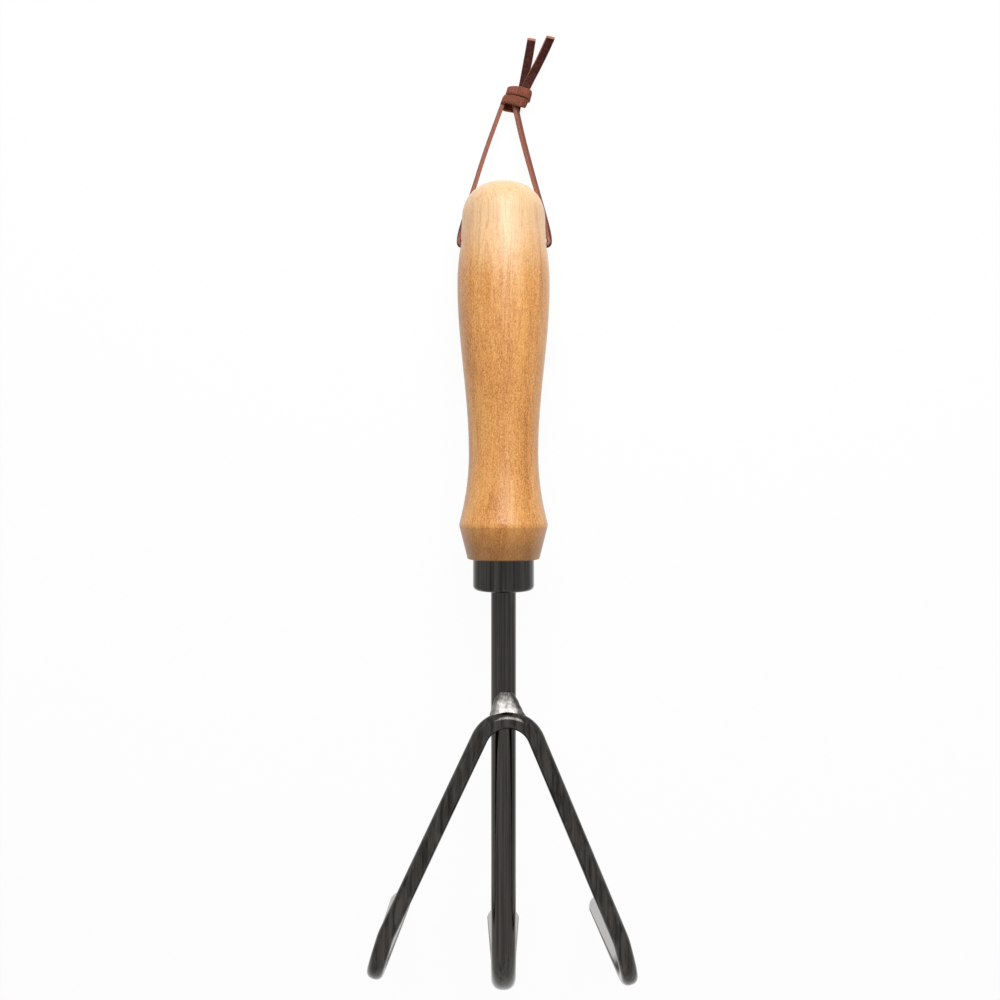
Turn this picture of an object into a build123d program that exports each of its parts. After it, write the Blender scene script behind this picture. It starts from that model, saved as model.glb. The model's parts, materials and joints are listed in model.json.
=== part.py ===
"""Three-tine hand rake: turned handle, pressed ferrule, welded stainless tines and a leather hanging lace.

The rigid pieces are drawn in the tool's own frame: X along its axis from the butt of the handle to the
tines, Y across, Z away from the side that the prongs hook towards. The tool is then laid down as it rests on
a table, on the prongs' tips and the handle's butt, and the origin goes to the bottom centre of its box.
"""
from build123d import *
from math import copysign, cos, pi, radians, sin, tan
import os

# ---- handle, turned hardwood; its places are measured from the butt unless said otherwise ----
HANDLE_LENGTH = 136.0        # butt to the shoulder that the ferrule seats on
BUTT_DOME = 14.5             # length of the rounded butt, if its very end weren't sanded back
BUTT_FLAT = 1.5              # how far it is sanded back
BUTT_RADIUS = 15.0
BELLY_AT = 37.0
BELLY_RADIUS = 16.6
WAIST_AT = 98.0
WAIST_RADIUS = 12.5
RIDGE_SETBACK = 12.3         # from the shoulder back to the flare's ridge
RIDGE_RADIUS = 16.0          # before the ridge is rounded
RIDGE_ROUND = 3.0
FLARE_SLOPE = 0.26           # rise of the flare just before its ridge
SHOULDER_RADIUS = 12.9
SHOULDER_ROUND = 0.7
HOLE_AT = 24.0               # lace hole, bored across the handle
HOLE_RADIUS = 2.6
HOLE_ROUND = 0.9

# ---- ferrule, a pressed cup ----
FERRULE_RADIUS = 11.0
FERRULE_LENGTH = 11.2
FERRULE_WALL = 1.0
FERRULE_ROUND = 1.8

# ---- middle tine: one round bar, with its tang glued into the handle ----
BAR_RADIUS = 4.5
TANG_RADIUS = 4.0
TANG_LENGTH = 72.0           # inside the handle, from the shoulder
TANG_CHAMFER = 1.2
TANG_STEP = 3.0              # length of full bar that still enters the handle
GLUE_FILM = 0.35
GLUE_POOL = 3.0              # glue past the tang's end
MIDDLE_CORNER_AT = 300.5     # where the axes of bar and prong would meet
MIDDLE_LEAN = 14.0           # degrees that the prong leans back towards the handle
MIDDLE_BEND = 20.0           # bend radius of the bar's axis
MIDDLE_FLARE = 1.58          # width at the tip, as a share of the bar's

# ---- outer tines: one thinner bar bent like a wishbone and welded on top of the middle bar ----
WISHBONE_RADIUS = 3.0
APEX_AT = 192.0              # the bar's axis at the top of the apex
APEX_OFFSET = 1.7            # how far off the tool's axis it was welded
WISHBONE_TWIST = 1.3         # degrees out of true that it was welded
LEG_ANGLE = 24.05            # degrees between each leg and the wishbone's centre line
APEX_BEND = 10.9
EASE_AT = 77.0               # from the apex to where the legs ease inwards
EASE_BEND = 22.0
EASED_ANGLE = 15.7           # degrees between the eased leg and the centre line
EASED_STRAIGHT = 1.5         # left straight between the easing and the forged bend
OUTER_LEAN = 3.9             # degrees back towards the handle
LEFT_TOE = 4.3               # degrees in towards the middle prong; the two were bent by hand
RIGHT_TOE = 6.4
OUTER_BEND = 11.7
OUTER_FLARE = 1.48           # width at the tip, as a share of the bar's

# ---- prongs: forged flat from the bend on, widest at the rounded tip ----
TIP_DEPTH = 52.5             # of the outer tips below the middle bar's axis
MIDDLE_LIFT = 0.2            # how far the middle tip stays above the outer ones
BEND_FLAT = 0.18             # share of its thickness that the bar loses by the end of the bend
BLADE_THIN = 0.38            # thickness at the tip, as a share of the bar's
BLADE_SQUARENESS = 3.0       # power of the outline of a forged section; a round bar's is 2
SECTION_POINTS = 20          # that the outline of a forged section is drawn through
TIP_ROUNDING = 10.5          # length of the rounded tip
TIP_FULLNESS = 1.05          # width of the rounding, as a share of the blade's at the tip
TIP_WASTE = 2.0              # forged past the tip's end before the tip is cut round
LOFT_STEP = 5.0              # between the sections of bend and blade

# ---- weld bead over the wishbone's apex ----
BEAD_LENGTH = 11.2
BEAD_WIDTH = 11.0
BEAD_HEIGHT = 8.6
BEAD_AHEAD = 3.2             # from the apex's axis to the bead's centre, towards the handle

# ---- leather lace; places are on the table: along the tool from the butt, across, and up ----
LACE_RADIUS = 1.3
HOLE_EXIT_BEND = 3.0         # bend radius of the lace over the edge of its hole
LEFT_LEG = [(23.8, 0, 16.3), (23.8, -17.3, 16.3), (13, -16.3, 10.8), (2, -11.8, 7.2), (-10, -7.4, 5.4),
            (-20, -3.8, 4.4), (-31, 0.4, 3.6)]
RIGHT_LEG = [(23.8, 0, 16.3), (23.8, 17.5, 16.3), (12.6, 16.5, 10.8), (1.4, 12.4, 7.0), (-10, 8.8, 5.2),
             (-20, 6.2, 4.2), (-30, 4.0, 3.6)]
SHORT_TAIL = [(-33, 6.2, 3.3), (-39.6, 7.6, 2.4), (-46, 9.2, 1.6), (-52.1, 10.1, 1.45)]
LONG_TAIL = [(-33, 9.0, 3.3), (-39.8, 11.2, 2.4), (-46.4, 13.8, 1.6), (-53.5, 16.6, 1.45)]
KNOT_CENTRE = (-31.8, 5.0, 3.4)
KNOT_SIZE = (8.2, 11.4, 6.4)
KNOT_ROUND = 2.6
KNOT_TURN = 14.0             # degrees, seen from above
BEND_SHARE = 0.45            # share of a straight run that the bend at each of its ends takes up

STEEPEST_REST = 30.0         # degrees, more than the tool's axis can rise when it lies on a table
REST_HALVINGS = 24           # rounds of halving that find how far it rises

SPIGOT_RADIUS = FERRULE_RADIUS - FERRULE_WALL
SPIGOT_END = HANDLE_LENGTH + FERRULE_LENGTH - FERRULE_WALL
FERRULE_END = HANDLE_LENGTH + FERRULE_LENGTH
TANG_END = HANDLE_LENGTH - TANG_LENGTH
STEP_AT = HANDLE_LENGTH - TANG_STEP
WISHBONE_HEIGHT = BAR_RADIUS + WISHBONE_RADIUS   # its axis above the middle bar's


def cylinder_x(radius, start, end):
    """Cylinder about X from start to end."""
    return Plane.YZ.offset(start) * extrude(Circle(radius), end - start)


def make_handle():
    """Turned body with its cross hole, the spigot for the ferrule and the stepped bore for the tang."""
    ridge_at = HANDLE_LENGTH - RIDGE_SETBACK
    shoulder = (BUTT_DOME * (1 - cos(pi / 4)), BUTT_RADIUS * sin(pi / 4))
    dome = Spline((BUTT_FLAT, 0), shoulder, (BUTT_DOME, BUTT_RADIUS), tangents=[(0, 1), (1, 0)])
    belly = Spline((BUTT_DOME, BUTT_RADIUS), (BELLY_AT, BELLY_RADIUS), tangents=[(1, 0), (1, 0)])
    grip = Spline((BELLY_AT, BELLY_RADIUS), (WAIST_AT, WAIST_RADIUS), tangents=[(1, 0), (1, 0)])
    flare = Spline((WAIST_AT, WAIST_RADIUS), (ridge_at, RIDGE_RADIUS), tangents=[(1, 0), (1, FLARE_SLOPE)])
    nose = Polyline(
        (ridge_at, RIDGE_RADIUS), (HANDLE_LENGTH, SHOULDER_RADIUS), (HANDLE_LENGTH, SPIGOT_RADIUS),
        (SPIGOT_END, SPIGOT_RADIUS), (SPIGOT_END, 0), (BUTT_FLAT, 0),
    )
    profile = make_face(Wire([dome, belly, grip, flare, *nose.edges()]))
    body = Rot(90, 0, 0) * revolve(profile, Axis.X)   # its seam lies clear of the cross hole
    for radius, rounding in ((RIDGE_RADIUS, RIDGE_ROUND), (SHOULDER_RADIUS, SHOULDER_ROUND)):
        rims = body.edges().filter_by(GeomType.CIRCLE)
        body = fillet([rim for rim in rims if abs(rim.radius - radius) < 1e-3], rounding)
    body -= Plane.XZ * Pos(HOLE_AT, 0) * extrude(Circle(HOLE_RADIUS), 2 * BELLY_RADIUS, both=True)
    box = Pos(HOLE_AT, 0, 0) * Box(3 * HOLE_RADIUS, 4 * BELLY_RADIUS, 3 * HOLE_RADIUS)
    mouths = [edge for edge in body.edges() if edge.geom_type != GeomType.LINE and inside(edge, box)]
    body = fillet(mouths, HOLE_ROUND)
    bore = cylinder_x(BAR_RADIUS, STEP_AT, SPIGOT_END)
    return body - bore - cylinder_x(TANG_RADIUS + GLUE_FILM, TANG_END - GLUE_POOL, STEP_AT)


def inside(edge, box):
    """Whether the whole edge is inside an axis-aligned box."""
    outer, inner = box.bounding_box(), edge.bounding_box()
    return all(
        low < value_low and value_high < high
        for low, value_low, value_high, high in zip(outer.min, inner.min, inner.max, outer.max)
    )


def make_ferrule():
    """Cup with its mouth on the handle's shoulder and the bar through its closed end."""
    cup = cylinder_x(FERRULE_RADIUS, HANDLE_LENGTH, FERRULE_END)
    closed_rim = cup.edges().filter_by(GeomType.CIRCLE).sort_by(Axis.X)[-1]
    cup = fillet(closed_rim, FERRULE_ROUND)
    return cup - cylinder_x(SPIGOT_RADIUS, HANDLE_LENGTH, SPIGOT_END) - cylinder_x(BAR_RADIUS, 0, FERRULE_END)


def make_tang():
    """Stepped end of the middle bar that sits in the handle."""
    tang = cylinder_x(TANG_RADIUS, TANG_END, STEP_AT)
    return chamfer(tang.edges().filter_by(GeomType.CIRCLE).sort_by(Axis.X)[0], TANG_CHAMFER)


def make_glue():
    """Glue that fills the bore round the tang and past its end."""
    return cylinder_x(TANG_RADIUS + GLUE_FILM, TANG_END - GLUE_POOL, STEP_AT) - make_tang()


def bend_reach(incoming, outgoing, bend_radius):
    """Distance from a bend's corner to either end of its arc."""
    return bend_radius * tan(radians(incoming.get_angle(outgoing)) / 2)


def forged_section(plane, half_width, half_thickness, squareness):
    """Face of a forged bar: an ellipse at a squareness of 2, and nearer to a rounded rectangle above that."""
    points = []
    for index in range(SECTION_POINTS):
        angle = 2 * pi * index / SECTION_POINTS
        across, through = (copysign(abs(v) ** (2 / squareness), v) for v in (cos(angle), sin(angle)))
        points.append((half_width * across, half_thickness * through))
    return plane * make_face(Spline(*points, periodic=True))


def make_hook(radius, start, incoming, outgoing, bend_radius, depth, flare):
    """Bend and forged prong of a tine whose bar turns from incoming to outgoing.

    start is on the bar's axis, half a loft step before the bend. depth is the tip's below the bar's axis, and
    flare the blade's width there as a share of the bar's.
    """
    incoming, outgoing = incoming.normalized(), outgoing.normalized()
    turn = radians(incoming.get_angle(outgoing))
    reach = bend_reach(incoming, outgoing, bend_radius)
    bend_start = start + incoming * LOFT_STEP / 2
    corner = bend_start + incoming * reach
    bend_end = corner + outgoing * reach
    length = depth / abs(outgoing.Z)
    inward = (outgoing - incoming * incoming.dot(outgoing)).normalized()
    across = incoming.cross(outgoing).normalized()

    def section(at, heading, wide, thick, forged):
        squareness = 2 + (BLADE_SQUARENESS - 2) * forged
        return forged_section(Plane(at, across, heading), radius * wide, radius * thick, squareness)

    sections = [Plane(start, across, incoming) * Circle(radius)]
    steps = round(turn * bend_radius / LOFT_STEP)
    for step in range(steps):
        angle = turn * step / steps
        at = bend_start + (incoming * sin(angle) + inward * (1 - cos(angle))) * bend_radius
        heading = incoming * cos(angle) + inward * sin(angle)
        forged = (step / steps) ** 2
        squeeze = BEND_FLAT * forged
        sections.append(section(at, heading, 1 + squeeze / 2, 1 - squeeze, forged))
    blade = length + TIP_WASTE - reach
    steps = round(blade / LOFT_STEP)
    for step in range(steps + 1):
        share = step / steps
        wide = 1 + BEND_FLAT / 2 + (flare - 1 - BEND_FLAT / 2) * share
        thick = 1 - BEND_FLAT - (1 - BEND_FLAT - BLADE_THIN) * sin(share * pi / 2)
        sections.append(section(bend_end + outgoing * (blade * share), outgoing, wide, thick, 1))

    half_width = radius * flare * TIP_FULLNESS
    tip = Plane(corner + outgoing * (length - TIP_ROUNDING), across, across.cross(outgoing))
    outside = Box(4 * half_width, 4 * TIP_ROUNDING, 4 * radius, align=(Align.CENTER, Align.MIN, Align.CENTER))
    end_shape = extrude(Ellipse(half_width, TIP_ROUNDING), 4 * radius, both=True)
    return loft(sections) - tip * (outside - end_shape)


def make_middle_tine():
    """Tang, shank and prong, forged from one bar."""
    along = Vector(1, 0, 0)
    down = Vector(-tan(radians(MIDDLE_LEAN)), 0, -1)
    hook_at = MIDDLE_CORNER_AT - bend_reach(along, down, MIDDLE_BEND) - LOFT_STEP / 2
    depth = TIP_DEPTH - MIDDLE_LIFT
    hook = make_hook(BAR_RADIUS, Vector(hook_at, 0, 0), along, down, MIDDLE_BEND, depth, MIDDLE_FLARE)
    return make_tang() + cylinder_x(BAR_RADIUS, STEP_AT, hook_at) + hook


def make_wishbone():
    """Both outer tines, bent from one bar, with the apex of the bar's axis at the origin."""
    half = radians(LEG_ANGLE)
    apex_corner = Vector(APEX_BEND - APEX_BEND / sin(half), 0, 0)
    ease = Vector(EASE_AT, (EASE_AT - apex_corner.X) * tan(half), 0)
    eased = Vector(cos(radians(EASED_ANGLE)), sin(radians(EASED_ANGLE)), 0)
    ease_reach = EASE_BEND * tan(radians(LEG_ANGLE - EASED_ANGLE) / 2)
    bar_end = ease + eased * (ease_reach + EASED_STRAIGHT)
    depth = TIP_DEPTH + WISHBONE_HEIGHT

    def prong(toe):
        down = Vector(-tan(radians(OUTER_LEAN)), -tan(radians(toe)), -1)
        return make_hook(WISHBONE_RADIUS, bar_end, eased, down, OUTER_BEND, depth, OUTER_FLARE)

    def mirrored(point):
        return Vector(point.X, -point.Y, point.Z)

    axis = FilletPolyline(
        bar_end, ease, apex_corner, mirrored(ease), mirrored(bar_end),
        radius=[EASE_BEND, APEX_BEND, EASE_BEND],
    )
    bar = sweep(Plane(axis @ 0, z_dir=axis % 0) * Circle(WISHBONE_RADIUS), axis)
    return bar + prong(RIGHT_TOE) + mirror(prong(LEFT_TOE), Plane.XZ)


def make_bead():
    """Weld bead before the pieces that it fills up against are cut out of it."""
    bead = scale(Sphere(1), (BEAD_LENGTH / 2, BEAD_WIDTH / 2, BEAD_HEIGHT / 2))
    return Pos(APEX_AT - BEAD_AHEAD, APEX_OFFSET, BAR_RADIUS) * bead


def lace_tube(name, points, first_bend=None):
    """Round stretch of lace along straight runs joined by arcs as large as the runs allow."""
    corners = [Vector(*point) for point in points]
    radii = []
    for before, at, after in zip(corners, corners[1:], corners[2:]):
        turn = radians((at - before).get_angle(after - at))
        radii.append(BEND_SHARE * min((at - before).length, (after - at).length) / tan(turn / 2))
    if first_bend:
        radii[0] = first_bend
    axis = FilletPolyline(*corners, radius=radii)
    tube = sweep(Plane(axis @ 0, z_dir=axis % 0) * Circle(LACE_RADIUS), axis)
    fullness = tube.volume / (pi * LACE_RADIUS**2 * axis.length)
    print(f"{name}: length {axis.length:.1f}, radii {[round(r, 1) for r in radii]}, volume {fullness:.4f}")
    return tube


def make_knot():
    """Outer shape of the double overhand knot."""
    knot = fillet(Box(*KNOT_SIZE).edges(), KNOT_ROUND)
    return Pos(*KNOT_CENTRE) * Rot(0, 0, KNOT_TURN) * knot


def rest_tilt(handle, tines):
    """Degrees that the tool's axis rises towards the tines when prongs and butt touch the table."""
    low, high = 0.0, STEEPEST_REST
    for _ in range(REST_HALVINGS):
        tilt = (low + high) / 2
        laid_handle, laid_tines = (Rot(0, -tilt, 0) * piece for piece in (handle, tines))
        if laid_tines.bounding_box().min.Z < laid_handle.bounding_box().min.Z:
            low = tilt
        else:
            high = tilt
    return tilt


def make_rake():
    """Every node by name, laid on the table with the origin at the bottom centre of the rigid pieces' box."""
    set_on = Pos(APEX_AT, APEX_OFFSET, WISHBONE_HEIGHT) * Rot(0, 0, -WISHBONE_TWIST)
    handle, middle, outer = make_handle(), make_middle_tine(), set_on * make_wishbone()
    rigid = {
        "handle": handle,
        "ferrule": make_ferrule(),
        "tang_glue": make_glue(),
        "middle_tine": middle,
        "outer_tines": outer,
        "weld_bead": make_bead() - middle - outer,
    }
    tilt = rest_tilt(handle, outer)
    lay = Rot(0, -tilt, 0)
    lift = -(lay * handle).bounding_box().min.Z
    nodes = {name: Pos(0, 0, lift) * lay * piece for name, piece in rigid.items()}

    knot = make_knot()
    nodes["lace_left"] = lace_tube("lace_left", LEFT_LEG, HOLE_EXIT_BEND) - knot
    nodes["lace_right"] = lace_tube("lace_right", RIGHT_LEG, HOLE_EXIT_BEND) - knot
    nodes["lace_knot"] = knot
    nodes["lace_tail_short"] = lace_tube("lace_tail_short", SHORT_TAIL) - knot
    nodes["lace_tail_long"] = lace_tube("lace_tail_long", LONG_TAIL) - knot

    box = Compound([nodes[name] for name in rigid]).bounding_box()
    centre = Pos(-box.center().X, -box.center().Y, 0)
    print(f"tilt {tilt:.3f}, lift {lift:.3f}, centre moved by {tuple(round(v, 3) for v in centre.position)}")
    print(f"box {tuple(round(v, 1) for v in box.size)}")
    return {name: centre * piece for name, piece in nodes.items()}


os.makedirs("parts", exist_ok=True)
for node_name, node in make_rake().items():
    export_step(node, f"parts/{node_name}.step")
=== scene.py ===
"""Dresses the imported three-tine hand rake: leather lace and knot, weld, finishes, and the studio it lies in.

Every length is in metres in the model's own frame unless its name or its comment says millimetres. The tool
lies on the floor on its prongs and the butt of its handle, with its axis rising towards the prongs.
"""
from __future__ import annotations

import json
import logging
import math
from dataclasses import dataclass
from enum import Enum
from typing import Any, Callable, Iterable, Sequence

import bmesh
import bpy
from mathutils import Matrix, Vector, noise

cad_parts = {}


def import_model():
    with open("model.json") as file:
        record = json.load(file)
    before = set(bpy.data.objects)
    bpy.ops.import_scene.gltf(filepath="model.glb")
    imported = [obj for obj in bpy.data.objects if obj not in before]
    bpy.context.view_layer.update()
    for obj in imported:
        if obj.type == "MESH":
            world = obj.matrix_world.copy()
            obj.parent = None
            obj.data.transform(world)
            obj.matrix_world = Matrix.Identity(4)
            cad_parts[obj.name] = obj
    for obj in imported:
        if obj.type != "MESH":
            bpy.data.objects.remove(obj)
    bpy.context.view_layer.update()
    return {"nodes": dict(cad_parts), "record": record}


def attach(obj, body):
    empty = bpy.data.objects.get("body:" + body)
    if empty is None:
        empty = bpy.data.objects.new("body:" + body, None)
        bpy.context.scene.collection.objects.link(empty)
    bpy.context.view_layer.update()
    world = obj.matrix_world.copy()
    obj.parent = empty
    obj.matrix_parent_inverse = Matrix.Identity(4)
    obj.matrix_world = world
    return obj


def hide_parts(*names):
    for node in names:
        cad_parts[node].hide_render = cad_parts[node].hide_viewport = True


MM = 0.001
LOG = logging.getLogger("hand_rake")

Sides = tuple[float, float, float]
Tree = bpy.types.NodeTree
Node = bpy.types.Node
Socket = bpy.types.NodeSocket
Piece = bpy.types.Object
Material = bpy.types.Material


# ---- small helpers ----


def linear(hex_colour: str) -> tuple[float, float, float, float]:
    """Turn an sRGB hex colour into the linear colour that a shader socket takes.

    Args:
        hex_colour: Six hex digits after a hash, such as "#D8A060".

    Returns:
        Linear red, green and blue, and an alpha of 1.
    """
    channels = (int(hex_colour[i : i + 2], 16) / 255 for i in (1, 3, 5))
    return (*(c / 12.92 if c <= 0.04045 else ((c + 0.055) / 1.055) ** 2.4 for c in channels), 1.0)


def add_node(tree: Tree, kind: str, inputs: dict[str | int, Any] | None = None, **settings: Any) -> Node:
    """Add a node to a tree, with its settings, its values and its links.

    Args:
        tree: The tree that gets the node.
        kind: Blender's name for the kind of node, without the leading "ShaderNode".
        inputs: What each input gets, by the input's name or place: another node's output, or a value.
        **settings: Properties of the node itself.

    Returns:
        The new node.
    """
    node = tree.nodes.new("ShaderNode" + kind)
    for name, value in settings.items():
        setattr(node, name, value)
    for key, value in (inputs or {}).items():
        if isinstance(value, bpy.types.NodeSocket):
            tree.links.new(value, node.inputs[key])
        else:
            node.inputs[key].default_value = value
    return node


def paint_ramp(node: Node, stops: Iterable[tuple[float, str | float]]) -> Node:
    """Set the stops of a colour ramp.

    Args:
        node: The ColorRamp node.
        stops: Place and colour of each stop. A plain number stands for that much grey.

    Returns:
        The same node.
    """
    ramp = node.color_ramp
    stops = list(stops)
    while len(ramp.elements) < len(stops):
        ramp.elements.new(1.0)
    for element, (place, colour) in zip(ramp.elements, stops):
        element.position = place
        element.color = linear(colour) if isinstance(colour, str) else (colour, colour, colour, 1.0)
    return node


def stretched_noise(tree: Tree, place: Socket, scale: Sides, **inputs: float) -> Socket:
    """Add a noise that is drawn out one way.

    Args:
        tree: The material's tree.
        place: Coordinates that it follows.
        scale: How many of its features fit a unit of each coordinate.
        **inputs: The noise's own inputs.

    Returns:
        Its value.
    """
    drawn = add_node(tree, "Mapping", {"Vector": place, "Scale": scale}).outputs[0]
    return add_node(tree, "TexNoise", {"Vector": drawn, "Scale": 1.0, **inputs}).outputs[0]


def new_material(name: str) -> tuple[Material, Tree]:
    """Make an empty node material.

    Args:
        name: Its name.

    Returns:
        The material and its node tree.
    """
    material = bpy.data.materials.new(name)
    material.use_nodes = True
    material.node_tree.nodes.clear()
    return material, material.node_tree


def dress(piece: Piece, material: Material) -> None:
    """Give a piece its finish in every material slot that it has."""
    if not piece.data.materials:
        piece.data.materials.append(material)
    for index in range(len(piece.data.materials)):
        piece.data.materials[index] = material


def put_in_scene(name: str, data: bpy.types.ID) -> Piece:
    """Put a mesh, curve, lamp or camera into the scene as an object that sits at the origin."""
    piece = bpy.data.objects.new(name, data)
    bpy.context.scene.collection.objects.link(piece)
    return piece


def select_where(piece: Piece, test: Callable[[Vector], bool]) -> None:
    """Select the points of a piece in edit mode by their place, and nothing else.

    Args:
        piece: The piece, in edit mode.
        test: Says of a point's place whether it is wanted.
    """
    mesh = bmesh.from_edit_mesh(piece.data)
    for vertex in mesh.verts:
        vertex.select_set(test(vertex.co))
    mesh.select_flush_mode()
    bmesh.update_edit_mesh(piece.data)


def apply_modifier(piece: Piece, kind: str, **settings: Any) -> None:
    """Add a modifier to the active piece and apply it.

    Args:
        piece: The piece, active and in object mode.
        kind: Blender's name for the kind of modifier.
        **settings: Its properties.
    """
    modifier = piece.modifiers.new(kind.lower(), kind)
    for name, value in settings.items():
        setattr(modifier, name, value)
    bpy.ops.object.modifier_apply(modifier=modifier.name)


# ---- where the tool lies ----


@dataclass(frozen=True)
class ToolFrame:
    """The tool's own frame: its axis from the butt to the tines, and up, away from the prongs' points."""

    butt: Vector
    axis: Vector

    SEAT_AT = 165.2 * MM  # the bare stretch of bar's middle, along the axis from the butt

    @classmethod
    def from_record(cls, record: dict[str, Any]) -> ToolFrame:
        """Read the frame off the record's mount on the bare stretch of bar.

        Args:
            record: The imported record.

        Returns:
            The tool's frame.
        """
        seat = next(mount for mount in record["mounts"] if mount["name"] == "clip_seat")
        axis = Vector(seat["axis"]).normalized()
        return cls(butt=Vector(seat["pos_m"]) - axis * cls.SEAT_AT, axis=axis)

    @property
    def up(self) -> Vector:
        """Direction away from the side that the prongs hook towards."""
        return Vector((-self.axis.z, 0.0, self.axis.x))

    @property
    def tilt(self) -> float:
        """Angle that the axis rises towards the tines, in radians."""
        return math.asin(self.axis.z)

    def point(self, along: float, across: float, up: float) -> Vector:
        """Place in the model's frame of a point given in the tool's."""
        return self.butt + self.axis * along + Vector((0, across, 0)) + self.up * up

    def on_table(self, along: float, across: float, up: float) -> Vector:
        """Place in the model's frame of a point in mm from under the butt, level with the table."""
        return Vector((self.butt.x + along * MM, self.butt.y + across * MM, up * MM))

    @property
    def matrix(self) -> Matrix:
        """Turn and shift that take a place in the tool's frame to the model's."""
        turn = Matrix((self.axis, (0.0, 1.0, 0.0), self.up)).transposed().to_4x4()
        return Matrix.Translation(self.butt) @ turn

    def millimetres(self, tree: Tree) -> Socket:
        """Coordinates in a material in mm, with X along the tool's axis from its butt.

        Args:
            tree: The material's tree.

        Returns:
            The output that carries them.
        """
        turn = Matrix.Rotation(self.tilt, 3, "Y")
        place = add_node(tree, "TexCoord").outputs["Object"]
        settings = {"Vector": place, "Location": -(turn @ self.butt) / MM, "Rotation": (0, self.tilt, 0)}
        return add_node(tree, "Mapping", {**settings, "Scale": (1 / MM,) * 3}).outputs["Vector"]


# ---- finishes ----


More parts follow.
